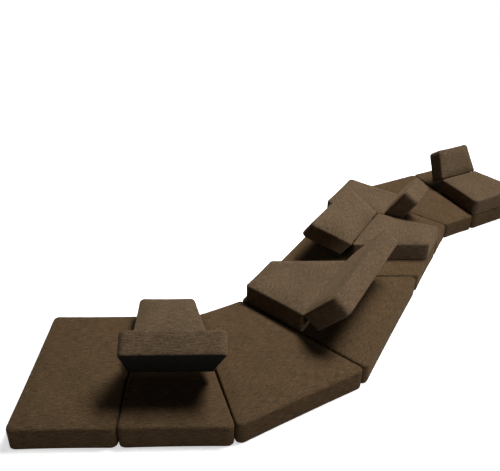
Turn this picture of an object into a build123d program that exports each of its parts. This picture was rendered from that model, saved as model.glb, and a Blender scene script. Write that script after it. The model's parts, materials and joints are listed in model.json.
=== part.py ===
from build123d import *
from collections import namedtuple
import math
import os

# A modular sofa bed: a winding row of eight floor mats of one depth and thickness, with five
# seats lying on them. Each seat carries a backrest on two friction hinges. All plan angles are
# multiples of one turn angle. +Z is up, X runs along the first mat's front edge.
# Sizes are millimetres.

# Driving dimensions of the mats
mat_depth = 1400.0
mat_thickness = 195.0
end_mat_width = 800.0
short_side = 500.0
turn_angle = 15.0
joint_gap = 1.0
corner_radius = 48.0
top_edge = 24.0
drawn_in = 3.0
mat_crown = 10.0

# Driving dimensions of the seats and backrests
seat_depth = 740.0
large_back_length = 475.0
small_back_length = 405.0
second_set_back = 50.0
seat_lift = 0.3
seat_corner_radius = 40.0
hinge_corner_radius = 22.0
hinge_edge_width = 15.0
seat_crown = 12.0

# Backrest angles as they stand, from flat
low_back_angle = 35.0
middle_back_angle = 49.0
high_back_angle = 56.0

# Inside the cushions
cover_wall = 11.0
core_clearance = 0.3
board_thickness = 18.0
board_height = 110.0
board_end_margin = 90.0

# Hinges
crease_gap = 10.0
axis_depth = 12.0
pin_radius = 2.5
pin_clearance = 0.05
knuckle_radius = 5.5
knuckle_length = 30.0
knuckle_clearance = 0.2
leaf_thickness = 3.0
leaf_height = 84.0
leaf_corner = 8.0
leaf_clearance = 0.4
tongue_width = 46.0
tongue_thickness = 4.0
tongue_grip = 16.0
tongue_clearance = 0.3
tongue_depth = 40.0
hinge_end_margin = 130.0

# Straps under the joints of the mats
strap_length = 200.0
strap_width = 50.0
strap_thickness = 2.0
strap_lift = 0.3
strap_clearance = 0.3
strap_place_shares = (0.22, 0.78)

# Zips in the rear sides of the mats
zip_height = 8.0
zip_depth = 2.0
zip_level = 42.0
zip_length_share = 0.6
slider_length = 14.0
slider_height = 7.0
slider_thickness = 3.5

# How a crown's rings draw in towards its middle, from the lowest to the highest
crown_shares = (1.0, 0.7, 0.3)

# Counts of turn angles: heading of each mat's front edge, and lean of each joint
front_steps = (0, 0, 2, 4, 4, 4, 2, 2)
joint_steps = (0, 0, 1, 3, 6, 4, 3, 1, 2)

# Worked out from the sizes above
right_angle = 90.0
flare = mat_depth * math.tan(math.radians(turn_angle))
wide_flare = mat_depth * math.tan(math.radians(2 * turn_angle))
front_sides = (
    end_mat_width,
    short_side + flare,
    short_side + 2 * flare,
    short_side + flare + wide_flare,
    short_side + flare,
    short_side,
    short_side,
    short_side + flare,
)
seat_floor = mat_thickness + seat_lift
seat_top = 2 * mat_thickness
axis_level = seat_top - axis_depth
half_crease = crease_gap / 2
core_inset = cover_wall + core_clearance
overrun = mat_thickness

# Each seat: mat it lies on, whether the seat is at the mat's front, how far its first leg is
# set in along the front, how far its outer edge is set back, backrest length and backrest angle
seats = (
    ("seat_1", "mat_2", False, 0.0, 0.0, large_back_length, high_back_angle),
    ("seat_2", "mat_4", False, 0.0, second_set_back, large_back_length, middle_back_angle),
    ("seat_3", "mat_5", True, flare, 0.0, large_back_length, low_back_angle),
    ("seat_4", "mat_6", False, 0.0, 0.0, small_back_length, high_back_angle),
    ("seat_5", "mat_8", True, 0.0, 0.0, small_back_length, high_back_angle),
)
mat_names = [f"mat_{mat + 1}" for mat in range(len(front_sides))]
carriers = [seat[1] for seat in seats]


# Slope of a leg of a mat, sideways per depth, from the joint's lean against the mat's heading
def leg_slope(mat, joint):
    lean = (joint_steps[joint] - front_steps[mat]) * turn_angle
    return -math.tan(math.radians(lean))


# Both legs of a mat in its own frame: where each meets the front edge, and its slope
def mat_legs(mat):
    return ((0.0, leg_slope(mat, mat)), (front_sides[mat], leg_slope(mat, mat + 1)))


# Frames of the mats: each starts where the one before ends
def mat_frames():
    frames = []
    corner = Vector(0, 0, 0)
    for mat, side in enumerate(front_sides):
        heading = front_steps[mat] * turn_angle
        frames.append(Pos(*corner) * Rot(0, 0, heading))
        corner = (frames[-1] * Pos(side, 0, 0)).position
    return frames


# Where a leg stands at a depth, moved sideways by an inset measured square to it
def leg_place(leg, depth, inset):
    start, slope = leg
    return start + slope * depth + inset * math.hypot(1, slope)


# One cushion: its legs, its front and rear depth, its levels, how far its four sides are drawn
# in, its four corner radii, the width of its rounded front and rear edges, and its crown
Cushion = namedtuple("Cushion", "legs front rear low high draws radii front_edge rear_edge crown")


# Corners of a cushion's outline, anticlockwise, with its sides moved in by a share of their edges
def outline_corners(cushion, inset):
    left, right = cushion.legs
    low = cushion.front + inset * cushion.front_edge / top_edge
    high = cushion.rear - inset * cushion.rear_edge / top_edge
    side = inset + joint_gap / 2
    return [
        Vector(leg_place(left, low, side), low),
        Vector(leg_place(right, low, -side), low),
        Vector(leg_place(right, high, -side), high),
        Vector(leg_place(left, high, side), high),
    ]


# Directions from a corner of an outline to the corners before and after it, and half its angle
def corner_spread(corners, k):
    back = (corners[k - 1] - corners[k]).normalized()
    ahead = (corners[(k + 1) % 4] - corners[k]).normalized()
    return back, ahead, math.radians(back.get_angle(ahead)) / 2


# Closed outline of four sides, straight or drawn in, between four corner arcs
def rounded_outline(corners, draws, radii, level):
    up = Vector(0, 0, level)
    starts = []
    ends = []
    edges = []
    for k, corner in enumerate(corners):
        back, ahead, half = corner_spread(corners, k)
        reach = radii[k] / math.sin(half) - radii[k]
        start = corner + back * (radii[k] / math.tan(half)) + up
        end = corner + ahead * (radii[k] / math.tan(half)) + up
        middle = corner + (back + ahead).normalized() * reach + up
        edges.append(ThreePointArc(start, middle, end))
        starts.append(start)
        ends.append(end)
    for k, draw in enumerate(draws):
        start = ends[k]
        end = starts[(k + 1) % 4]
        along = (end - start).normalized()
        inward = Vector(-along.Y, along.X)
        if draw == 0:
            side = Line(start, end)
        else:
            side = ThreePointArc(start, (start + end) / 2 + inward * draw, end)
        edges.insert(2 * k + 1, side)
    return Wire(edges)


# Outside of a cushion up to its flat top: drawn-in sides and a softened top edge
def cushion_skin(cushion):
    steps = (
        (0, cushion.low),
        (0, cushion.high - top_edge),
        (top_edge, cushion.high),
    )
    sections = []
    for inset, level in steps:
        corners = outline_corners(cushion, inset)
        sections.append(rounded_outline(corners, cushion.draws, cushion.radii, level))
    return Solid.make_loft(sections, ruled=True)


# One ring of a cushion's crown: its top outline with cut corners, drawn in towards its middle
def crown_ring(cushion, share, level):
    corners = outline_corners(cushion, top_edge + 2 * drawn_in)
    middle = (corners[0] + corners[1] + corners[2] + corners[3]) / 4
    points = []
    for k, corner in enumerate(corners):
        back, ahead, half = corner_spread(corners, k)
        cut = cushion.radii[k] / math.tan(half)
        for point in (corner + back * cut, corner + ahead * cut):
            points.append(middle + (point - middle) * share + Vector(0, 0, level))
    return points


# Crown of a cushion: a low block of flat facets that rises from inside its top edge
def crown_block(cushion):
    rings = []
    for share in crown_shares:
        rise = cushion.crown * (1 - share**2) / (1 - crown_shares[-1] ** 2)
        rings.append(crown_ring(cushion, share, cushion.high + rise))
    outlines = [rings[0], rings[-1]]
    for low, high in zip(rings, rings[1:]):
        for k in range(len(low)):
            outlines.append([low[k - 1], low[k], high[k], high[k - 1]])
    return Solid(Shell([make_face(Polyline(points, close=True)) for points in outlines]))


# Cut foam block with bevelled corners inside a cushion, or the room for it in the cover
def foam_block(cushion, inset):
    plain = cushion._replace(front_edge=top_edge, rear_edge=top_edge)
    corners = outline_corners(plain, inset + drawn_in)
    points = []
    for k, corner in enumerate(corners):
        back, ahead, half = corner_spread(corners, k)
        cut = cushion.radii[k] - inset / 2
        points += [corner + back * cut, corner + ahead * cut]
    low = Vector(0, 0, cushion.low + inset)
    outline = Polyline([point + low for point in points], close=True)
    height = cushion.high - cushion.low - 2 * inset
    return extrude(make_face(outline), amount=height, dir=(0, 0, 1))


# Cover and foam core of one cushion
def cover_and_core(cushion):
    skin = cushion_skin(cushion)
    if cushion.crown > 0:
        skin = skin + crown_block(cushion)
    return skin - foam_block(cushion, cover_wall), foam_block(cushion, core_inset)


# Plain box with its low corner at a place
def box_at(x, y, z, width, depth, height):
    return Pos(x, y, z) * Box(width, depth, height, align=(Align.MIN, Align.MIN, Align.MIN))


# Places of the straps along a joint, as frames across that joint
def strap_frames(mat_frame, mat):
    left, right = mat_legs(mat)
    lean = (joint_steps[mat + 1] - front_steps[mat]) * turn_angle
    places = []
    for share in strap_place_shares:
        depth = share * mat_depth
        places.append(mat_frame * Pos(leg_place(right, depth, 0), depth, 0) * Rot(0, 0, lean))
    return places


# Strap lying across a joint, grown by a clearance where it is the recess for one
def strap(frame, grow):
    width = strap_width + 2 * grow
    length = strap_length + 2 * grow
    height = strap_thickness + strap_lift + grow
    low = strap_lift if grow == 0 else -overrun
    return frame * box_at(-length / 2, -width / 2, low, length, width, height - low)


# Zip in the rear side of a mat: its tape and its slider, in the mat's frame
def rear_zip(legs):
    left, right = legs
    start = leg_place(left, mat_depth, 0)
    end = leg_place(right, mat_depth, 0)
    length = (end - start) * zip_length_share
    first = (start + end - length) / 2
    face = mat_depth - drawn_in
    tape = box_at(first, face - zip_depth, zip_level, length, zip_depth, zip_height)
    middle = zip_level + (zip_height - slider_height) / 2
    slider = box_at(first, face, middle, slider_length, slider_thickness, slider_height)
    return tape, slider


# Groove for a zip tape in the cover
def zip_groove(legs):
    tape = rear_zip(legs)[0].bounding_box()
    grow = core_clearance
    return box_at(
        tape.min.X - grow, tape.min.Y - grow, tape.min.Z - grow,
        tape.size.X + 2 * grow, tape.size.Y + top_edge, tape.size.Z + 2 * grow,
    )


# Legs of a seat in its hinge frame: X along the hinge, Y from the seat to the backrest
def seat_legs(mat, at_front, set_in):
    (first, first_slope), (last, last_slope) = mat_legs(mat)
    first = first + set_in
    if at_front:
        return (
            (first + first_slope * seat_depth, first_slope),
            (last + last_slope * seat_depth, last_slope),
        )
    hinge_depth = mat_depth - seat_depth
    return (
        (-last - last_slope * hinge_depth, last_slope),
        (-first - first_slope * hinge_depth, first_slope),
    )


# Hinge frame of a seat in its mat's frame
def hinge_frame(mat_frame, at_front):
    if at_front:
        return mat_frame * Pos(0, seat_depth, 0)
    return mat_frame * Pos(0, mat_depth - seat_depth, 0) * Rot(0, 0, 2 * right_angle)


# Places of the two hinges along the crease
def hinge_places(legs):
    start = legs[0][0] + hinge_end_margin
    end = legs[1][0] - hinge_end_margin
    return (start, end)


# Rod along the hinge line
def rod(start, length, radius, level):
    turned = Pos(start, 0, level) * Rot(0, right_angle, 0)
    return turned * Cylinder(radius, length, align=(Align.CENTER, Align.CENTER, Align.MIN))


# Starts of a hinge's two knuckles along its axis: the backrest's, then the seat's
def knuckle_starts(place):
    first = place - knuckle_length - knuckle_clearance / 2
    return first, place + knuckle_clearance / 2


# Tongue of a leaf, through a slot in the cover into the board behind it
def leaf_tongue(place, side, grow):
    start = half_crease - leaf_clearance - leaf_thickness
    end = half_crease + core_inset + drawn_in + tongue_grip + grow
    low = axis_level - tongue_depth - tongue_thickness - grow
    base = start if side > 0 else -end
    return box_at(
        place - tongue_width / 2 - grow, base, low,
        tongue_width + 2 * grow, end - start, tongue_thickness + 2 * grow,
    )


# Half of a hinge: a leaf flat on the end of a cushion, with its knuckle and its tongue
def hinge_half(place, side):
    starts = knuckle_starts(place)
    own = starts[0] if side > 0 else starts[1]
    width = starts[1] + knuckle_length - starts[0]
    near = half_crease - leaf_clearance - leaf_thickness
    base = near if side > 0 else -near - leaf_thickness
    low = axis_level - leaf_height
    shoulder = axis_level - knuckle_radius - leaf_clearance
    leaf = box_at(starts[0], base, low, width, leaf_thickness, shoulder - low)
    leaf = chamfer(leaf.edges().filter_by(Axis.Y).group_by(Axis.Z)[0], leaf_corner)
    leaf += leaf_tongue(place, side, 0)
    neck = shoulder - leaf_clearance
    leaf += box_at(own, base, neck, knuckle_length, leaf_thickness, axis_level - neck)
    leaf += rod(own, knuckle_length, knuckle_radius, axis_level)
    bore = rod(starts[0] - overrun, width + 2 * overrun, pin_radius + pin_clearance, axis_level)
    return leaf - bore


# Pin through both knuckles of a hinge, flush with their ends
def hinge_pin(place):
    starts = knuckle_starts(place)
    return rod(starts[0], starts[1] + knuckle_length - starts[0], pin_radius, axis_level)


# Board inside the cover at the hinged end of a cushion
def end_board(legs, side, grow):
    start = legs[0][0] + board_end_margin - grow
    end = legs[1][0] - board_end_margin + grow
    near = half_crease + core_inset + drawn_in - grow
    thick = board_thickness + 2 * grow
    base = near if side > 0 else -near - thick
    middle = (seat_floor + seat_top) / 2
    low = middle - board_height / 2 - grow
    return box_at(start, base, low, end - start, thick, board_height + 2 * grow)


# One half of a seat in its hinge frame: cover, core, board and hinge halves
def seat_half(legs, side, length):
    if side > 0:
        form = Cushion(
            legs, half_crease, length, seat_floor, seat_top,
            (0, drawn_in, drawn_in, drawn_in),
            (hinge_corner_radius, hinge_corner_radius, seat_corner_radius, seat_corner_radius),
            hinge_edge_width, top_edge, seat_crown,
        )
    else:
        form = Cushion(
            legs, -length, -half_crease, seat_floor, seat_top,
            (drawn_in, drawn_in, 0, drawn_in),
            (seat_corner_radius, seat_corner_radius, hinge_corner_radius, hinge_corner_radius),
            top_edge, hinge_edge_width, seat_crown,
        )
    cover, core = cover_and_core(form)
    board = end_board(legs, side, 0)
    core = core - end_board(legs, side, core_clearance)
    halves = []
    for place in hinge_places(legs):
        halves.append(hinge_half(place, side))
        slot = leaf_tongue(place, side, tongue_clearance)
        cover = cover - slot
        board = board - slot
    return cover, core, board, halves


# Each mat as a cushion, flat on top where it carries a seat
def mat_cushion(mat):
    crown = 0 if mat_names[mat] in carriers else mat_crown
    return Cushion(
        mat_legs(mat), 0, mat_depth, 0, mat_thickness,
        (drawn_in,) * 4, (corner_radius,) * 4, top_edge, top_edge, crown,
    )


parts = {}
frames = mat_frames()

# The mats, joined by straps underneath: places of the straps and their recesses, joint by joint
strap_places = []
recesses = []
for mat in range(len(front_sides) - 1):
    places = strap_frames(frames[mat], mat)
    strap_places += places
    recesses.append([strap(place, strap_clearance) for place in places])

cores = []
tapes = []
sliders = []
for mat, frame in enumerate(frames):
    legs = mat_legs(mat)
    cover, core = cover_and_core(mat_cushion(mat))
    cover = frame * (cover - zip_groove(legs))
    for joint_recesses in recesses[max(0, mat - 1):mat + 1]:
        for recess in joint_recesses:
            cover = cover - recess
    tape, slider = rear_zip(legs)
    cores.append(frame * core)
    tapes.append(frame * tape)
    sliders.append(frame * slider)
    parts[f"{mat_names[mat]}_cover"] = cover
parts["mat_cores"] = Compound(cores)
parts["mat_zips"] = Compound(tapes)
parts["zip_sliders"] = Compound(sliders)
parts["joining_straps"] = Compound([strap(place, 0) for place in strap_places])

# The seats with their backrests
hinge_lines = {}
for name, carrier, at_front, set_in, set_back, back_length, back_angle in seats:
    mat = mat_names.index(carrier)
    legs = seat_legs(mat, at_front, set_in)
    frame = hinge_frame(frames[mat], at_front)
    raise_back = frame * Pos(0, 0, axis_level) * Rot(back_angle, 0, 0) * Pos(0, 0, -axis_level)
    cover, core, board, leaves = seat_half(legs, -1, seat_depth - set_back)
    parts[f"{name}_cover"] = frame * cover
    parts[f"{name}_core"] = frame * core
    parts[f"{name}_board"] = frame * board
    parts[f"{name}_hinge_leaves"] = Compound([frame * leaf for leaf in leaves])
    pins = [frame * hinge_pin(place) for place in hinge_places(legs)]
    parts[f"{name}_hinge_pins"] = Compound(pins)
    cover, core, board, leaves = seat_half(legs, 1, back_length)
    back = name.replace("seat", "back")
    parts[f"{back}_cover"] = raise_back * cover
    parts[f"{back}_core"] = raise_back * core
    parts[f"{back}_board"] = raise_back * board
    parts[f"{back}_hinge_leaves"] = Compound([raise_back * leaf for leaf in leaves])
    middle = (legs[0][0] + legs[1][0]) / 2
    hinge_lines[name] = frame * Pos(middle, 0, axis_level)

# The origin is under the middle of the whole, on the floor
whole = Compound([shape for shape in parts.values()]).bounding_box()
to_origin = Pos(-whole.center().X, -whole.center().Y, 0)
os.makedirs("parts", exist_ok=True)
for name, shape in parts.items():
    export_step(to_origin * shape, f"parts/{name}.step")

print("shift", -whole.center().X, -whole.center().Y)
print("size", whole.size.X, whole.size.Y, whole.size.Z, "low", whole.min.Z)
for name, place in hinge_lines.items():
    spot = (to_origin * place).position
    print("hinge", name, round(spot.X, 4), round(spot.Y, 4), round(spot.Z, 4),
          round((to_origin * place).orientation.Z, 4))
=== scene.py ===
import bpy
import json
import math
import numpy as np
from mathutils import Matrix, Vector, noise


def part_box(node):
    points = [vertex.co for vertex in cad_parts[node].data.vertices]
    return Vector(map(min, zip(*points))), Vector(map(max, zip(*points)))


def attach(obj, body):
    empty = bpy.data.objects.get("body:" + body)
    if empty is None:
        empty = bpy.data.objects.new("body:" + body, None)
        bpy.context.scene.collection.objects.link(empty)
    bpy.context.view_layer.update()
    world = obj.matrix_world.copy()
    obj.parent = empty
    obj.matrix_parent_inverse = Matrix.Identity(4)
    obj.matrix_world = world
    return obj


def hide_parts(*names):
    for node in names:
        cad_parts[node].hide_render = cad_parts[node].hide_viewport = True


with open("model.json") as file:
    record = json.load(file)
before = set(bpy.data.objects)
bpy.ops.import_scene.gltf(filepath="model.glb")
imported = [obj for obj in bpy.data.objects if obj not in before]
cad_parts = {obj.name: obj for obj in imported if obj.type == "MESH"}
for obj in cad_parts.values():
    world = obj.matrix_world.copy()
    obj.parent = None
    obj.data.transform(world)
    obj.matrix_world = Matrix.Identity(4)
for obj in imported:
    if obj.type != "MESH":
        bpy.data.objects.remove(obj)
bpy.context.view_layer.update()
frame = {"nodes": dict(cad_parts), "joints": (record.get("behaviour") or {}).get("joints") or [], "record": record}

# Helpers for colours, nodes and materials. A node's stops are those of a colour ramp.
def toLinear(hexColour):
    channels = [int(hexColour[k:k + 2], 16) / 255 for k in (1, 3, 5)]
    linear = [c / 12.92 if c <= 0.04045 else ((c + 0.055) / 1.055) ** 2.4 for c in channels]
    return (*linear, 1)


def addNode(tree, kind, settings=None, inputs=None, stops=()):
    node = tree.nodes.new(kind)
    for name, value in (settings or {}).items():
        setattr(node, name, value)
    for socket, value in (inputs or {}).items():
        if isinstance(value, bpy.types.NodeSocket):
            tree.links.new(value, node.inputs[socket])
        else:
            node.inputs[socket].default_value = value
    while stops and len(node.color_ramp.elements) < len(stops):
        node.color_ramp.elements.new(0.5)
    for k, (place, colour) in enumerate(stops):
        element = node.color_ramp.elements[k]
        element.position = place
        element.color = toLinear(colour) if isinstance(colour, str) else (colour, colour, colour, 1)
    return node


def newMaterial(name, surface):
    material = bpy.data.materials.new(name)
    material.use_nodes = True
    tree = material.node_tree
    tree.nodes.clear()
    shader = addNode(tree, "ShaderNodeBsdfPrincipled", inputs=surface)
    addNode(tree, "ShaderNodeOutputMaterial", inputs={"Surface": shader.outputs[0]})
    return material, tree, shader


# The upholstery: a flat wool-blend weave of mixed dark brown yarns, dull, with a faint bloom at grazing
# angles. Uneven weft yarns give it fine streaks along the width of each cushion.
upholstery = {
    "dark": "#33291d", "body": "#4d3e2c", "warm": "#604b35", "light": "#745f48",
    "streakLength": 0.075, "streakWidth": 0.009,
    "fleckLength": 0.022, "fleckWidth": 0.005,
    "threadPitch": 0.0032,  # gives threads 2 mm apart, a little more than the real ones, so that they show
    "patchSize": 0.35,
    "fleckShare": 0.45, "streakShare": 0.45, "patchShare": 0.1,
    "threadRelief": 0.0006, "specular": 0.06, "sheen": 0.12,
}
# The seats and backrests take a lighter and a little greener copy of the cloth
seatUpholstery = dict(upholstery, dark="#3a3024", body="#574837", warm="#6a5743", light="#7e6b56",
                       sheen=0.25)
# Painted shade: the same weave made nearly black, for the cushions' undersides, which lie in deep shade
paintedShadeCloth = dict(upholstery, dark="#0d0c0b", body="#12110f", warm="#171513", light="#1c1a17",
                   specular=0.03, sheen=0.0)


def makeUpholstery(name, look):
    material, tree, shader = newMaterial(name, {
        "Roughness": 0.95, "IOR": 1.45, "Specular IOR Level": look["specular"],
        "Sheen Weight": look["sheen"], "Sheen Roughness": 0.4, "Sheen Tint": toLinear("#b0946f"),
    })
    cloth = addNode(tree, "ShaderNodeUVMap", {"uv_map": "cloth"}).outputs[0]

    def stretchedNoise(length, width, detail):
        mapped = addNode(tree, "ShaderNodeMapping", inputs={
            "Vector": cloth, "Scale": (1 / length, 1 / width, 1)})
        return addNode(tree, "ShaderNodeTexNoise", inputs={
            "Vector": mapped.outputs[0], "Scale": 1.0, "Detail": detail, "Roughness": 0.6}).outputs[0]

    streak = stretchedNoise(look["streakLength"], look["streakWidth"], 3.0)
    fleck = stretchedNoise(look["fleckLength"], look["fleckWidth"], 2.0)
    patch = stretchedNoise(look["patchSize"], look["patchSize"], 2.0)
    yarn = 0.0  # streaks, flecks and broad patches, each added in its share
    for part, share in ((streak, "streakShare"), (fleck, "fleckShare"), (patch, "patchShare")):
        yarn = addNode(tree, "ShaderNodeMath", {"operation": "MULTIPLY_ADD"},
                       {0: part, 1: look[share], 2: yarn}).outputs[0]
    colour = addNode(tree, "ShaderNodeValToRGB", inputs={"Fac": yarn}, stops=(
        (0.36, look["dark"]), (0.47, look["body"]), (0.56, look["warm"]), (0.68, look["light"])))
    tree.links.new(colour.outputs[0], shader.inputs["Base Color"])

    threads = []
    for direction in ("X", "Y"):
        scaled = addNode(tree, "ShaderNodeMapping", inputs={
            "Vector": cloth, "Scale": (1 / look["threadPitch"],) * 3})
        wave = addNode(tree, "ShaderNodeTexWave", {"bands_direction": direction}, {
            "Vector": scaled.outputs[0], "Scale": 0.5, "Distortion": 0.6, "Detail": 1.0})
        threads.append(wave.outputs[1])
    weave = addNode(tree, "ShaderNodeMath", {"operation": "MAXIMUM"}, {0: threads[0], 1: threads[1]})
    relief = addNode(tree, "ShaderNodeMath", {"operation": "MULTIPLY_ADD"},
                     {0: streak, 1: 0.8, 2: weave.outputs[0]})
    bump = addNode(tree, "ShaderNodeBump", inputs={
        "Strength": 0.5, "Distance": look["threadRelief"], "Height": relief.outputs[0]})
    tree.links.new(bump.outputs[0], shader.inputs["Normal"])
    return material


# Cut polyurethane foam: cream, open cells about 1.5 mm across, quite dull
def makeFoam():
    material, tree, shader = newMaterial("cutFoam", {
        "Roughness": 0.95, "IOR": 1.5, "Base Color": toLinear("#d9cfae"), "Specular IOR Level": 0.2})
    place = addNode(tree, "ShaderNodeTexCoord").outputs["Object"]
    cells = addNode(tree, "ShaderNodeTexVoronoi", inputs={"Vector": place, "Scale": 1 / 0.0015})
    colour = addNode(tree, "ShaderNodeValToRGB", inputs={"Fac": cells.outputs[0]}, stops=(
        (0.0, "#a4976f"), (0.45, "#d9cfae"), (1.0, "#e6dec2")))
    bump = addNode(tree, "ShaderNodeBump", inputs={
        "Strength": 0.6, "Distance": 0.0004, "Height": cells.outputs[0]})
    tree.links.new(colour.outputs[0], shader.inputs["Base Color"])
    tree.links.new(bump.outputs[0], shader.inputs["Normal"])
    return material


# Sanded birch plywood: pale, faint long grain about 3 mm apart
def makePlywood():
    material, tree, shader = newMaterial("sandedBirchPlywood", {
        "Roughness": 0.6, "IOR": 1.5, "Base Color": toLinear("#c9a678")})
    place = addNode(tree, "ShaderNodeTexCoord").outputs["Object"]
    mapped = addNode(tree, "ShaderNodeMapping", inputs={"Vector": place, "Scale": (3, 3, 1 / 0.003)})
    grain = addNode(tree, "ShaderNodeTexNoise", inputs={
        "Vector": mapped.outputs[0], "Scale": 1.0, "Detail": 4.0, "Distortion": 0.4})
    colour = addNode(tree, "ShaderNodeValToRGB", inputs={"Fac": grain.outputs[0]}, stops=(
        (0.3, "#a9824f"), (0.55, "#c9a678"), (0.75, "#dcbf95")))
    tree.links.new(colour.outputs[0], shader.inputs["Base Color"])
    return material


# Pressed steel with black-passivated zinc plating: nearly black, satin, with fine rolling marks
def makeZinc():
    material, tree, shader = newMaterial("blackZincPlatedSteel", {
        "Metallic": 1.0, "Base Color": toLinear("#181716"), "Roughness": 0.38})
    place = addNode(tree, "ShaderNodeTexCoord").outputs["Object"]
    mapped = addNode(tree, "ShaderNodeMapping", inputs={"Vector": place, "Scale": (60, 60, 1 / 0.0008)})
    marks = addNode(tree, "ShaderNodeTexNoise", inputs={"Vector": mapped.outputs[0], "Detail": 3.0})
    gloss = addNode(tree, "ShaderNodeValToRGB", inputs={"Fac": marks.outputs[0]}, stops=(
        (0.3, 0.3), (0.7, 0.46)))
    tree.links.new(gloss.outputs[0], shader.inputs["Roughness"])
    return material


# Woven nylon, for the zip tapes and straps: dark, slightly glossy, with ribs 1.5 and 2.3 mm apart
def makeWebbing(name, colour, ribPitch):
    material, tree, shader = newMaterial(name, {
        "Roughness": 0.6, "IOR": 1.53, "Base Color": toLinear(colour)})
    place = addNode(tree, "ShaderNodeTexCoord").outputs["Object"]
    scaled = addNode(tree, "ShaderNodeMapping", inputs={"Vector": place, "Scale": (1 / ribPitch,) * 3})
    ribs = addNode(tree, "ShaderNodeTexWave", {"bands_direction": "DIAGONAL"}, {
        "Vector": scaled.outputs[0], "Scale": 0.5})
    bump = addNode(tree, "ShaderNodeBump", inputs={
        "Strength": 0.6, "Distance": 0.0004, "Height": ribs.outputs[1]})
    tree.links.new(bump.outputs[0], shader.inputs["Normal"])
    return material


# Lacquered zinc casting, for the zip sliders: near black, smooth, moderately glossy, worn in 3 mm spots
def makeSliderLacquer():
    material, tree, shader = newMaterial("lacquerOnZinc", {
        "Roughness": 0.35, "IOR": 1.5, "Base Color": toLinear("#2a241f")})
    place = addNode(tree, "ShaderNodeTexCoord").outputs["Object"]
    wear = addNode(tree, "ShaderNodeTexNoise", inputs={"Vector": place, "Scale": 300.0})
    gloss = addNode(tree, "ShaderNodeValToRGB", inputs={"Fac": wear.outputs[0]}, stops=(
        (0.35, 0.28), (0.65, 0.42)))
    tree.links.new(gloss.outputs[0], shader.inputs["Roughness"])
    return material


# Drawn nylon or polyester yarn, for zip coils and thread: smooth, a little glossy, faintly twisted
def makeThread(name, colour):
    material, tree, shader = newMaterial(name, {
        "Roughness": 0.45, "IOR": 1.53, "Base Color": toLinear(colour)})
    place = addNode(tree, "ShaderNodeTexCoord").outputs["Object"]
    twist = addNode(tree, "ShaderNodeTexNoise", inputs={"Vector": place, "Scale": 1 / 0.0008})
    gloss = addNode(tree, "ShaderNodeValToRGB", inputs={"Fac": twist.outputs[0]}, stops=(
        (0.35, 0.38), (0.65, 0.55)))
    tree.links.new(gloss.outputs[0], shader.inputs["Roughness"])
    return material


clothMaterial = makeUpholstery("melangeWoolWeave", upholstery)
seatClothMaterial = makeUpholstery("melangeWoolWeaveSeats", seatUpholstery)
# A nearly black copy of the cloth: painted shade for the cushions' bottom panels
paintedShadeMaterial = makeUpholstery("paintedShadeWeave", paintedShadeCloth)
coilMaterial = makeThread("nylonZipCoil", "#2b211a")
threadMaterial = makeThread("polyesterThread", "#5c4935")
finishes = {
    "brown_upholstery": clothMaterial,
    "foam": makeFoam(),
    "birch_plywood": makePlywood(),
    "zinc_plated_steel": makeZinc(),
    "zip_tape": makeWebbing("nylonZipTape", "#241b14", 0.0012),
    "zip_metal": makeSliderLacquer(),
    "strap_webbing": makeWebbing("nylonStrapWebbing", "#1c1a18", 0.0018),
}
slots = {part["node"]: part["material_slot"] for part in frame["record"]["subparts"]}
for name, node in frame["nodes"].items():
    node.data.materials.clear()
    node.data.materials.append(finishes[slots[name]])
print("finishes made")

# The plan of the mats, as in the frame: headings and leans count in turns of 15 degrees
plan = {
    "depth": 1.4, "thickness": 0.195, "endWidth": 0.8, "shortSide": 0.5, "turn": 15,
    "frontTurns": (0, 0, 2, 4, 4, 4, 2, 2), "jointTurns": (0, 0, 1, 3, 6, 4, 3, 1, 2),
    "seatDepth": 0.74, "setBack": 0.05, "largeBack": 0.475, "smallBack": 0.405, "crease": 0.01,
    "lift": 0.0003, "jointGap": 0.001,
}
flare = plan["depth"] * math.tan(math.radians(plan["turn"]))
wideFlare = plan["depth"] * math.tan(math.radians(2 * plan["turn"]))
short = plan["shortSide"]
frontSides = (plan["endWidth"], short + flare, short + 2 * flare, short + flare + wideFlare,
              short + flare, short, short, short + flare)

# Each seat: its mat, whether it lies at the mat's front, how far in it starts, how far its outer edge is
# set back, its backrest's length
seatPlan = (
    (2, False, 0.0, 0.0, plan["largeBack"]),
    (4, False, 0.0, plan["setBack"], plan["largeBack"]),
    (5, True, flare, 0.0, plan["largeBack"]),
    (6, False, 0.0, 0.0, plan["smallBack"]),
    (8, True, 0.0, 0.0, plan["smallBack"]),
)
carriers = [seat[0] for seat in seatPlan]


def legsOf(mat):
    legs = []
    for joint, start in ((mat, 0.0), (mat + 1, frontSides[mat])):
        lean = (plan["jointTurns"][joint] - plan["frontTurns"][mat]) * plan["turn"]
        legs.append((start, -math.tan(math.radians(lean))))
    return legs


def matFrames():
    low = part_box("mat_1_cover")[0]
    corner = Vector((low.x - plan["jointGap"] / 2, low.y, 0))
    frames = []
    for mat, side in enumerate(frontSides):
        frames.append(Matrix.Translation(corner)
                      @ Matrix.Rotation(math.radians(plan["frontTurns"][mat] * plan["turn"]), 4, "Z"))
        corner = frames[-1] @ Vector((side, 0, 0))
    return frames


def seatLegs(mat, atFront, setIn):
    (first, firstSlope), (last, lastSlope) = legsOf(mat)
    first += setIn
    if atFront:
        depth = plan["seatDepth"]
        return [(first + firstSlope * depth, firstSlope), (last + lastSlope * depth, lastSlope)]
    depth = plan["depth"] - plan["seatDepth"]
    return [(-last - lastSlope * depth, lastSlope), (-first - firstSlope * depth, firstSlope)]


def hingeFrame(matFrame, atFront):
    if atFront:
        return matFrame @ Matrix.Translation((0, plan["seatDepth"], 0))
    return (matFrame @ Matrix.Translation((0, plan["depth"] - plan["seatDepth"], 0))
            @ Matrix.Rotation(math.pi, 4, "Z"))


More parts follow.
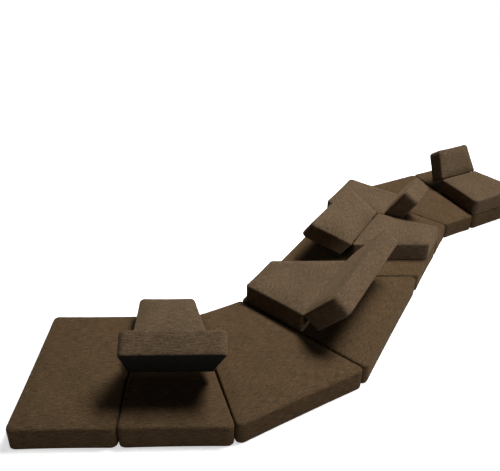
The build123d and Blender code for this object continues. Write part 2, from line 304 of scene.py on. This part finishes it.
# What every cushion shares. The sewn cover starts a little small, is blown up against its seams by the
# cloth simulation, and no point of it may move further than the cap.
cushionLook = {
    "cell": 0.02, "leastCells": 6, "sidePoints": 25, "cornerSteps": 12,
    "matCorner": 0.05, "seatCorner": 0.048, "hingeCorner": 0.018, "leastCorner": 0.006,
    "edgeRadius": 0.024, "floorEdge": 0.008, "hingeEdge": 0.013, "drawnIn": 0.004, "jointInset": 0.0015,
    "seamAngle": 48, "seamHalfWidth": 9, "seamDepth": 0.0018,
    "crown": 0.01, "seatCrown": 0.013, "crownPower": 7,
    "wave": 0.0026, "waveSize": 0.3, "wavePower": 4, "waveShift": 7.3, "clothShift": 1.37,
}
clothSetup = {
    "frames": 20, "pressure": 4.0, "quality": 5, "mass": 0.3, "tension": 15.0, "bending": 0.5,
    "cap": 0.006, "sideCap": 0.001, "hingeHeld": 0.002,
}
# The zips lie in grooves in the mats' rear sides: levels from the floor, depths from the rear plane
zipLook = {
    "level": 0.046, "lengthShare": 0.6, "overLength": 0.004,
    "grooveHalf": 0.0048, "lipHalf": 0.0072, "grooveDepth": 0.0085, "slack": 0.0005, "rearReach": 0.02,
    "face": 0.0028, "toothPitch": 0.0034,  # a real coil has a tooth every 2 mm
    "toothRadius": 0.0011, "toothHeight": 0.0046, "toothStagger": 0.0007,
    "stitchPitch": 0.0048, "stitchLength": 0.0034, "threadRadius": 0.00045, "stitchRows": (-0.011, 0.011),
    "rowStep": 0.03, "leastRow": 8, "castFrom": 0.05,
}
# Soft lips that nearly meet along the hinge line, except at the hinges, so that little light falls through
lipLook = {
    "depth": 0.0145, "half": 0.003, "reach": 0.0085, "slack": 0.004,
    "hingeMargin": 0.13, "hingeHalf": 0.042,
}
thin = 0.0005  # points of a flat panel differ by less than this in height


def cornerArc(corner, before, after, radius):
    back = (before - corner) / np.linalg.norm(before - corner)
    ahead = (after - corner) / np.linalg.norm(after - corner)
    half = math.acos(float(np.clip(back @ ahead, -1, 1))) / 2
    bisector = (back + ahead) / np.linalg.norm(back + ahead)
    centre = corner + bisector * (radius / math.sin(half))
    first = corner + back * (radius / math.tan(half)) - centre
    last = corner + ahead * (radius / math.tan(half)) - centre
    start = math.atan2(first[1], first[0])
    sweep = (math.atan2(last[1], last[0]) - start + math.pi) % math.tau - math.pi
    angles = start + sweep * np.linspace(0, 1, cushionLook["cornerSteps"] + 1)
    return centre + radius * np.stack([np.cos(angles), np.sin(angles)], 1)


# Outline of a cushion as four runs of points, each from one corner's middle to the next one's
def outlineRuns(corners, radii, draws, counts):
    middle = cushionLook["cornerSteps"] // 2
    arcs = [cornerArc(corners[k], corners[k - 1], corners[(k + 1) % 4], radii[k]) for k in range(4)]
    runs = []
    for k in range(4):
        start, end = arcs[k][-1], arcs[(k + 1) % 4][0]
        along = (end - start) / np.linalg.norm(end - start)
        inward = np.array([-along[1], along[0]])
        share = np.linspace(0, 1, cushionLook["sidePoints"])[1:-1, None]
        side = start + (end - start) * share + inward * draws[k] * 4 * share * (1 - share)
        points = np.concatenate([arcs[k][middle:], side, arcs[(k + 1) % 4][:middle + 1]])
        steps = np.concatenate([[0], np.cumsum(np.linalg.norm(np.diff(points, axis=0), axis=1))])
        at = np.linspace(0, steps[-1], counts[k % 2] + 1)
        runs.append(np.stack([np.interp(at, steps, points[:, 0]), np.interp(at, steps, points[:, 1])], 1))
    return runs


# Grid of points that fills an outline, from its four runs
def fillOutline(runs):
    front, right, rear, left = runs[0], runs[1], runs[2][::-1], runs[3][::-1]
    u = np.linspace(0, 1, len(front))[:, None, None]
    v = np.linspace(0, 1, len(right))[None, :, None]
    grid = (1 - v) * front[:, None] + v * rear[:, None] + (1 - u) * left[None] + u * right[None]
    return grid - ((1 - u) * (1 - v) * front[0] + u * (1 - v) * front[-1]
                   + (1 - u) * v * rear[0] + u * v * rear[-1])


# Insets and heights of the rings round a cushion's side, from its floor edge to its top edge
def ringLevels(low, high, zipLevels):
    look = cushionLook
    floorEdge, topEdge = look["floorEdge"], look["edgeRadius"]
    levels = []
    for angle in (0, 45, 90):
        turn = math.radians(angle)
        levels.append((floorEdge * (1 - math.sin(turn)), low + floorEdge * (1 - math.cos(turn))))
    wallLow, wallHigh = low + floorEdge, high - topEdge
    wallSteps = round((wallHigh - wallLow) / look["cell"])
    heights = [wallLow + (wallHigh - wallLow) * k / wallSteps for k in range(1, wallSteps)]
    if zipLevels:
        heights = [h for h in heights if min(abs(h - z) for z in zipLevels) > look["cell"] / 2]
    levels += [(0.0, h) for h in sorted(heights + list(zipLevels))]
    seam, half = look["seamAngle"], look["seamHalfWidth"]
    for angle in (0, seam / 2, seam - half, seam, seam + half, (seam + 90) / 2, 90):
        turn = math.radians(angle)
        if angle == seam:
            seamRing = len(levels)
        levels.append((topEdge * (1 - math.cos(turn)), high - topEdge * (1 - math.sin(turn))))
    return levels, seamRing


# Corners of a form's outline at an inset from its largest one
def cornersAt(form, inset):
    (leftStart, leftSlope), (rightStart, rightSlope) = form["legs"]
    frontEdge, rearEdge = form["edges"]
    front = form["front"] + inset * frontEdge / cushionLook["edgeRadius"]
    rear = form["rear"] - inset * rearEdge / cushionLook["edgeRadius"]
    side = inset + cushionLook["jointInset"]

    def left(y):
        return leftStart + leftSlope * y + side * math.hypot(1, leftSlope)

    def right(y):
        return rightStart + rightSlope * y - side * math.hypot(1, rightSlope)

    corners = (left(front), front), (right(front), front), (right(rear), rear), (left(rear), rear)
    return [np.array(corner) for corner in corners]


def inZipGroove(form, x, y, height):
    start, end = form["zip"]
    return (abs(height - zipLook["level"]) < zipLook["grooveHalf"] + zipLook["slack"]
            and start < x < end and y > form["rear"] - zipLook["rearReach"])


# How far a point of a hinged side is drawn out to the lip there
def lipReach(form, x, y, height):
    plane, level, places = form["lip"]
    if abs(height - level) > lipLook["half"] or abs(y - plane) > lipLook["slack"]:
        return 0.0
    if min(abs(x - place) for place in places) < lipLook["hingeHalf"]:
        return 0.0
    return -math.copysign(lipLook["reach"], plane)


# Vertex numbers of a panel's grid: its rim is a ring's own points, and its inner points are new
def panelIndex(counts, base, addPoint):
    nu, nv = counts
    index = np.zeros((nu + 1, nv + 1), int)
    for i in range(nu + 1):
        for j in range(nv + 1):
            if j == 0:
                index[i, j] = base + i
            elif i == nu:
                index[i, j] = base + nu + j
            elif j == nv:
                index[i, j] = base + nu + nv + (nu - i)
            elif i == 0:
                index[i, j] = base + (2 * nu + nv + (nv - j)) % (2 * nu + 2 * nv)
            else:
                index[i, j] = addPoint(i, j)
    return index


# Builds one cushion in its own frame and returns its mesh with its seam's points and its groove's
def cushionMesh(name, form):
    look, crown = cushionLook, form["crown"]
    outer = cornersAt(form, 0)
    widths = [np.linalg.norm(outer[(k + 1) % 4] - outer[k]) for k in range(4)]
    counts = [max(look["leastCells"], round((widths[k] + widths[k + 2]) / 2 / look["cell"])) for k in (0, 1)]
    loopLength = 2 * sum(counts)
    level, half, lip = zipLook["level"], zipLook["grooveHalf"], zipLook["lipHalf"]
    zipLevels = (level - lip, level - half, level + half, level + lip) if "zip" in form else ()
    levels, seamRing = ringLevels(form["low"], form["high"], zipLevels)
    rings = []
    for inset, height in levels:
        radii = [max(radius - inset, look["leastCorner"]) for radius in form["radii"]]
        runs = outlineRuns(cornersAt(form, inset), radii, form["draws"], counts)
        rings.append((runs, np.concatenate([run[:-1] for run in runs]), height))

    points, grooved = [], []
    for _, loop, height in rings:
        for x, y in loop:
            if "zip" in form and inZipGroove(form, x, y, height):
                grooved.append(len(points))
                y = form["rear"] - zipLook["grooveDepth"]
            if "lip" in form:
                y += lipReach(form, x, y, height)
            points.append((x, y, height))

    # Side faces: the cloth runs round the cushion below the seam and lies flat above it
    waist = rings[len(rings) // 2][1]
    around = np.concatenate([[0], np.cumsum(np.linalg.norm(
        np.diff(np.concatenate([waist, waist[:1]]), axis=0), axis=1))])
    faces, faceUvs = [], []
    for r in range(len(rings) - 1):
        lowRing, highRing = r * loopLength, (r + 1) * loopLength
        h0, h1 = rings[r][2], rings[r + 1][2]
        for k in range(loopLength):
            n = (k + 1) % loopLength
            faces.append((lowRing + k, lowRing + n, highRing + n, highRing + k))
            if r >= seamRing:
                faceUvs.append([points[i][:2] for i in faces[-1]])
            else:
                faceUvs.append([(around[k], h0), (around[k + 1], h0), (around[k + 1], h1), (around[k], h1)])

    # The bottom and top panels share the first and last ring with the side
    nu, nv = counts
    for top in (False, True):
        ring = len(rings) - 1 if top else 0
        runs, _, height = rings[ring]
        grid = fillOutline(runs)

        def addPoint(i, j):
            u, v = 2 * i / nu - 1, 2 * j / nv - 1
            x, y = grid[i, j]
            rise = 0.0
            if top and crown:
                bulge, calm = look["crownPower"], look["wavePower"]
                wave = noise.noise(Vector((x / look["waveSize"], y / look["waveSize"],
                                           form["seed"] * look["waveShift"])))
                rise = crown * (1 - abs(u) ** bulge) * (1 - abs(v) ** bulge)
                rise += look["wave"] * wave * (1 - u ** calm) * (1 - v ** calm)
            points.append((x, y, height + rise))
            return len(points) - 1

        index = panelIndex(counts, ring * loopLength, addPoint)
        for i in range(nu):
            for j in range(nv):
                quad = (index[i, j], index[i + 1, j], index[i + 1, j + 1], index[i, j + 1])
                faces.append(quad if top else quad[::-1])
                faceUvs.append([points[q][:2] for q in faces[-1]])

    mesh = bpy.data.meshes.new(name)
    mesh.from_pydata([tuple(p) for p in points], [], [tuple(int(i) for i in f) for f in faces])
    flatUvs = np.array([uv for face in faceUvs for uv in face], np.float32)
    flatUvs += np.float32(form["seed"] * look["clothShift"])
    mesh.uv_layers.new(name="cloth").data.foreach_set("uv", flatUvs.ravel())
    mesh.polygons.foreach_set("use_smooth", [True] * len(faces))
    # Bottom panels take the second material, which is painted shade
    paintedShadeFaces = [int(max(points[i][2] for i in face) < form["low"] + thin) for face in faces]
    mesh.polygons.foreach_set("material_index", paintedShadeFaces)
    mesh.update()
    return mesh, list(range(seamRing * loopLength, (seamRing + 1) * loopLength)), grooved


# Blows the cover up against its own stretch, then lets no point move further than its cap
def inflateCover(piece, heldPoints, caps):
    mesh = piece.data
    before = np.zeros(len(mesh.vertices) * 3)
    after = np.zeros_like(before)
    mesh.vertices.foreach_get("co", before)
    pins = piece.vertex_groups.new(name="held")
    pins.add(heldPoints, 1.0, "REPLACE")
    modifier = piece.modifiers.new("cover", "CLOTH")
    settings = modifier.settings
    settings.quality = clothSetup["quality"]
    settings.mass = clothSetup["mass"]
    settings.tension_stiffness = settings.compression_stiffness = clothSetup["tension"]
    settings.bending_stiffness = clothSetup["bending"]
    settings.use_pressure = True
    settings.uniform_pressure_force = clothSetup["pressure"]
    settings.vertex_group_mass = "held"
    settings.effector_weights.gravity = 0
    modifier.collision_settings.use_collision = False
    modifier.point_cache.frame_start = 1
    modifier.point_cache.frame_end = clothSetup["frames"]
    for step in range(1, clothSetup["frames"] + 1):
        bpy.context.scene.frame_set(step)
    evaluated = piece.evaluated_get(bpy.context.evaluated_depsgraph_get())
    evaluated.to_mesh().vertices.foreach_get("co", after)
    evaluated.to_mesh_clear()
    piece.modifiers.remove(modifier)
    piece.vertex_groups.remove(pins)
    move = (after - before).reshape(-1, 3)
    length = np.linalg.norm(move, axis=1, keepdims=True)
    move *= np.minimum(1.0, caps[:, None] / np.maximum(length, 1e-9))
    mesh.vertices.foreach_set("co", before + move.ravel())
    mesh.update()
    bpy.context.scene.frame_set(1)


def tuckSeam(mesh, seamPoints):
    mesh.update()
    normals = [mesh.vertices[i].normal.copy() for i in seamPoints]
    for i, normal in zip(seamPoints, normals):
        mesh.vertices[i].co -= normal * cushionLook["seamDepth"]


def subdivide(piece):
    modifier = piece.modifiers.new("round", "SUBSURF")
    modifier.levels = modifier.render_levels = 1
    graph = bpy.context.evaluated_depsgraph_get()
    final = bpy.data.meshes.new_from_object(piece.evaluated_get(graph), depsgraph=graph)
    piece.modifiers.remove(modifier)
    old = piece.data
    piece.data = final
    bpy.data.meshes.remove(old)


def makeCushion(name, body, place, cloth, form):
    mesh, seamPoints, grooved = cushionMesh(name + "_cushion", form)
    piece = bpy.data.objects.new(name + "_cushion", mesh)
    bpy.context.collection.objects.link(piece)
    mesh.materials.append(cloth)
    # The second material is painted shade for the bottom panel
    mesh.materials.append(paintedShadeMaterial)
    heights = np.array([v.co.z for v in mesh.vertices])
    onFloor = form["low"] + cushionLook["floorEdge"] / 2
    nearHinge = plan["crease"] / 2 + clothSetup["hingeHeld"]
    held = [i for i, v in enumerate(mesh.vertices)
            if v.co.z < onFloor or "lip" in form and abs(v.co.y) < nearHinge]
    held += seamPoints + grooved
    onTop = heights > form["high"] - thin
    if not form["crown"]:
        held += [int(i) for i in np.flatnonzero(onTop)]  # flat, because a seat lies on it
    inflateCover(piece, held, np.where(onTop, clothSetup["cap"], clothSetup["sideCap"]))
    tuckSeam(mesh, seamPoints)
    subdivide(piece)
    piece.data.transform(place)
    piece.data.update()
    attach(piece, body)
    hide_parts(name + "_cover")
    return piece


# Start and end of a mat's zip along its rear side
def zipSpan(mat):
    (leftStart, leftSlope), (rightStart, rightSlope) = legsOf(mat)
    rearLeft, rearRight = leftStart + leftSlope * plan["depth"], rightStart + rightSlope * plan["depth"]
    half = (rearRight - rearLeft) * zipLook["lengthShare"] / 2
    middle = (rearLeft + rearRight) / 2
    return middle - half, middle + half


matPlaces = matFrames()
matCushions = []
for mat, place in enumerate(matPlaces):
    start, end = zipSpan(mat)
    matCushions.append(makeCushion(f"mat_{mat + 1}", "mats", place, clothMaterial, {
        "legs": legsOf(mat), "front": 0.0, "rear": plan["depth"], "low": 0.0, "high": plan["thickness"],
        "edges": (cushionLook["edgeRadius"],) * 2, "radii": (cushionLook["matCorner"],) * 4,
        "draws": (cushionLook["drawnIn"],) * 4, "seed": mat,
        "crown": 0.0 if mat + 1 in carriers else cushionLook["crown"],
        "zip": (start - zipLook["overLength"], end + zipLook["overLength"]),
    }))
print("mats made")

joints = {joint["name"]: joint for joint in frame["joints"]}
seatSeed, backSeed = 10, 20
for k, (matNumber, atFront, setIn, setBack, backLength) in enumerate(seatPlan):
    legs = seatLegs(matNumber - 1, atFront, setIn)
    place = hingeFrame(matPlaces[matNumber - 1], atFront)
    high = 2 * plan["thickness"]
    gap = plan["crease"] / 2
    lipLevel = high - lipLook["depth"]
    hingePlaces = (legs[0][0] + lipLook["hingeMargin"], legs[1][0] - lipLook["hingeMargin"])
    topEdge, hingeEdge = cushionLook["edgeRadius"], cushionLook["hingeEdge"]
    outerCorners, hingeCorners = (cushionLook["seatCorner"],) * 2, (cushionLook["hingeCorner"],) * 2
    drawn = cushionLook["drawnIn"]
    shared = {"legs": legs, "low": plan["thickness"] + plan["lift"], "high": high,
              "crown": cushionLook["seatCrown"]}
    seat, back = f"seat_{k + 1}", f"back_{k + 1}"
    makeCushion(seat, seat, place, seatClothMaterial, dict(
        shared, front=setBack - plan["seatDepth"], rear=-gap, edges=(topEdge, hingeEdge),
        radii=outerCorners + hingeCorners, draws=(drawn, drawn, 0.0, drawn),
        lip=(-gap, lipLevel, hingePlaces), seed=seatSeed + k))
    hinge = joints[back + "_recline"]
    angle = -math.radians(hinge["range_deg"][0])
    axis = Matrix.Translation((0, 0, hinge["pos_m"][2]))
    raised = place @ axis @ Matrix.Rotation(angle, 4, "X") @ axis.inverted()
    makeCushion(back, back, raised, seatClothMaterial, dict(
        shared, front=gap, rear=backLength, edges=(hingeEdge, topEdge),
        radii=hingeCorners + outerCorners, draws=(0.0, drawn, drawn, drawn),
        lip=(gap, lipLevel, hingePlaces), seed=backSeed + k))
print("seats and backrests made")


# One geometry tree lays small rods along a path: zip teeth across it, or stitches along it
def rodTree(name, across):
    tree = bpy.data.node_groups.new(name, "GeometryNodeTree")
    sockets = tree.interface
    sockets.new_socket("Path", in_out="INPUT", socket_type="NodeSocketGeometry")
    for label in ("Pitch", "Length", "Radius", "Stagger"):
        sockets.new_socket(label, in_out="INPUT", socket_type="NodeSocketFloat")
    sockets.new_socket("Material", in_out="INPUT", socket_type="NodeSocketMaterial")
    sockets.new_socket("Rods", in_out="OUTPUT", socket_type="NodeSocketGeometry")
    given = addNode(tree, "NodeGroupInput").outputs
    curve = addNode(tree, "GeometryNodeMeshToCurve", inputs={"Mesh": given["Path"]})
    places = addNode(tree, "GeometryNodeCurveToPoints", {"mode": "LENGTH"}, {
        "Curve": curve.outputs[0], "Length": given["Pitch"]})
    rod = addNode(tree, "GeometryNodeMeshCylinder", {"fill_type": "TRIANGLE_FAN"}, {
        "Vertices": 6, "Radius": given["Radius"], "Depth": given["Length"]})
    # Every other rod is shifted up and the rest down
    index = addNode(tree, "GeometryNodeInputIndex")
    odd = addNode(tree, "ShaderNodeMath", {"operation": "MODULO"}, {0: index.outputs[0], 1: 2.0})
    side = addNode(tree, "ShaderNodeMapRange", inputs={
        "Value": odd.outputs[0], "To Min": -1.0, "To Max": 1.0})
    shift = addNode(tree, "ShaderNodeMath", {"operation": "MULTIPLY"}, {
        0: side.outputs[0], 1: given["Stagger"]})
    offset = addNode(tree, "ShaderNodeCombineXYZ", inputs={"Z": shift.outputs[0]})
    staggered = addNode(tree, "GeometryNodeSetPosition", inputs={
        "Geometry": places.outputs["Points"], "Offset": offset.outputs[0]})
    settings = {"Points": staggered.outputs[0], "Instance": rod.outputs["Mesh"]}
    if not across:
        along = addNode(tree, "FunctionNodeAlignRotationToVector", {"axis": "Z"}, {
            "Vector": places.outputs["Tangent"]})
        settings["Rotation"] = along.outputs[0]
    rods = addNode(tree, "GeometryNodeInstanceOnPoints", inputs=settings)
    real = addNode(tree, "GeometryNodeRealizeInstances", inputs={"Geometry": rods.outputs[0]})
    dressed = addNode(tree, "GeometryNodeSetMaterial", inputs={
        "Geometry": real.outputs[0], "Material": given["Material"]})
    addNode(tree, "NodeGroupOutput", inputs={"Rods": dressed.outputs[0]})
    return tree


def layRods(name, tree, paths, values):
    mesh = bpy.data.meshes.new(name + "_paths")
    points, edges = [], []
    for path in paths:
        edges += [(len(points) + k, len(points) + k + 1) for k in range(len(path) - 1)]
        points += path
    mesh.from_pydata(points, edges, [])
    piece = bpy.data.objects.new(name, mesh)
    bpy.context.collection.objects.link(piece)
    modifier = piece.modifiers.new("rods", "NODES")
    modifier.node_group = tree
    for item in tree.interface.items_tree:
        if item.in_out == "INPUT" and item.name in values:
            modifier[item.identifier] = values[item.name]
    graph = bpy.context.evaluated_depsgraph_get()
    made = bpy.data.meshes.new_from_object(piece.evaluated_get(graph), depsgraph=graph)
    piece.modifiers.remove(modifier)
    piece.data = made
    bpy.data.meshes.remove(mesh)
    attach(piece, "mats")
    print(name, len(made.polygons), "faces")


# Row of points on a mat's rear side at a level, found on the finished cushion
def rowOnRear(cushion, place, span, level):
    start, end = span
    inward = (place.to_3x3() @ Vector((0, -1, 0))).normalized()
    steps = max(zipLook["leastRow"], round((end - start) / zipLook["rowStep"]))
    row = []
    for k in range(steps + 1):
        x = start + (end - start) * k / steps
        origin = place @ Vector((x, plan["depth"] + zipLook["castFrom"], level))
        hit, spot, *_ = cushion.ray_cast(origin, inward)
        if hit:
            y = (place.inverted() @ spot).y + zipLook["threadRadius"] / 2
            row.append(place @ Vector((x, y, level)))
    return row


toothPaths, stitchPaths = [], []
for mat, (place, cushion) in enumerate(zip(matPlaces, matCushions)):
    span = zipSpan(mat)
    face = plan["depth"] - zipLook["face"]
    toothPaths.append([place @ Vector((x, face, zipLook["level"])) for x in span])
    for rise in zipLook["stitchRows"]:
        stitchPaths.append(rowOnRear(cushion, place, span, zipLook["level"] + rise))
layRods("zip_teeth", rodTree("zipTeeth", True), toothPaths, {
    "Pitch": zipLook["toothPitch"], "Length": zipLook["toothHeight"], "Radius": zipLook["toothRadius"],
    "Stagger": zipLook["toothStagger"], "Material": coilMaterial})
layRods("zip_stitches", rodTree("zipStitches", False), stitchPaths, {
    "Pitch": zipLook["stitchPitch"], "Length": zipLook["stitchLength"], "Radius": zipLook["threadRadius"],
    "Stagger": 0.0, "Material": threadMaterial})
print("zips made")

# Floor, studio light and camera. The camera sees the floor white, and it lights the sofa as a grey one.
studio = {
    "floorColour": "#ffffff", "bounceColour": "#9c9c9c", "floorSize": 60.0,
    "glowNear": 0.6, "glowFar": 1.0, "glowStart": 3.0, "glowEnd": 8.0,
    "keyPlace": (6.0, 4.2, 18.0), "keySize": (12.0, 5.6), "keyPower": 640.0, "keySpread": 56,
    "keyAim": (-0.9, 0.9, 0.0),
    "rightPlace": (8.0, -8.5, 1.0), "leftPlace": (-7.5, -9.0, 1.0), "fillSize": (5.0, 1.2),
    "rightPower": 270.0, "leftPower": 45.0,
}
view = {
    "place": (1.6339, -3.1489, 3.4361),  # from the first mat's front left corner
    "pitch": 27.82, "yaw": 2.67, "roll": 1.19, "lens": 42.54, "sensor": 36.0, "shiftX": -0.0106,
}


# 1 for rays from the camera and from glossy surfaces, 0 for the rays that carry light
def seenRay(tree):
    path = addNode(tree, "ShaderNodeLightPath").outputs
    return addNode(tree, "ShaderNodeMath", {"operation": "MAXIMUM"},
                   {0: path["Is Camera Ray"], 1: path["Is Glossy Ray"]}).outputs[0]


# Matte paint without any gloss. It takes the sofa's shadow and fades to white further off.
def makeFloor():
    size = studio["floorSize"] / 2
    corners = [(-size, -size, 0), (size, -size, 0), (size, size, 0), (-size, size, 0)]
    mesh = bpy.data.meshes.new("floor")
    mesh.from_pydata(corners, [], [(0, 1, 2, 3)])
    floor = bpy.data.objects.new("floor", mesh)
    bpy.context.collection.objects.link(floor)
    material, tree, shader = newMaterial("matteFloorPaint", {
        "Base Color": toLinear(studio["floorColour"]), "Roughness": 1.0, "Specular IOR Level": 0.0,
        "Emission Color": (1, 1, 1, 1)})
    seen = seenRay(tree)
    place = addNode(tree, "ShaderNodeTexCoord").outputs["Object"]
    away = addNode(tree, "ShaderNodeVectorMath", {"operation": "LENGTH"}, {0: place})
    glow = addNode(tree, "ShaderNodeMapRange", inputs={
        "Value": away.outputs["Value"], "From Min": studio["glowStart"], "From Max": studio["glowEnd"],
        "To Min": studio["glowNear"], "To Max": studio["glowFar"]})
    shown = addNode(tree, "ShaderNodeMath", {"operation": "MULTIPLY"}, {0: seen, 1: glow.outputs[0]})
    tree.links.new(shown.outputs[0], shader.inputs["Emission Strength"])
    shade = addNode(tree, "ShaderNodeMix", {"data_type": "RGBA"}, {
        "Factor": seen, "A": toLinear(studio["bounceColour"]), "B": toLinear(studio["floorColour"])})
    tree.links.new(shade.outputs["Result"], shader.inputs["Base Color"])
    mesh.materials.append(material)


# Rectangular lamp that faces a point, the middle of the floor unless told otherwise
def areaLight(name, place, size, power, aim=(0, 0, 0), spread=180):
    data = bpy.data.lights.new(name, "AREA")
    data.shape = "RECTANGLE"
    data.size, data.size_y = size
    data.energy = power
    data.spread = math.radians(spread)
    lamp = bpy.data.objects.new(name, data)
    lamp.location = place
    lamp.rotation_euler = (Vector(aim) - Vector(place)).to_track_quat("-Z", "Y").to_euler()
    bpy.context.collection.objects.link(lamp)


def makeWorld():
    world = bpy.data.worlds.new("studioWhite")
    world.use_nodes = True
    tree = world.node_tree
    tree.nodes.clear()
    glow = addNode(tree, "ShaderNodeBackground", inputs={"Color": (1, 1, 1, 1), "Strength": seenRay(tree)})
    addNode(tree, "ShaderNodeOutputWorld", inputs={"Surface": glow.outputs[0]})
    bpy.context.scene.world = world


def makeCamera():
    data = bpy.data.cameras.new("photoCamera")
    data.sensor_width = view["sensor"]
    data.lens = view["lens"]
    data.shift_x = view["shiftX"]
    data.clip_end = 200  # metres
    camera = bpy.data.objects.new("photoCamera", data)
    turn = (Matrix.Rotation(math.radians(-view["yaw"]), 4, "Z")
            @ Matrix.Rotation(math.radians(90 - view["pitch"]), 4, "X")
            @ Matrix.Rotation(math.radians(view["roll"]), 4, "Z"))
    camera.matrix_world = Matrix.Translation(matPlaces[0] @ Vector(view["place"])) @ turn
    bpy.context.collection.objects.link(camera)
    bpy.context.scene.camera = camera


makeFloor()
areaLight("keyPanel", studio["keyPlace"], studio["keySize"], studio["keyPower"],
          studio["keyAim"], studio["keySpread"])
areaLight("rightPanel", studio["rightPlace"], studio["fillSize"], studio["rightPower"])
areaLight("leftPanel", studio["leftPlace"], studio["fillSize"], studio["leftPower"])
makeWorld()
makeCamera()
bpy.context.scene.view_settings.view_transform = "Standard"
print("studio made")
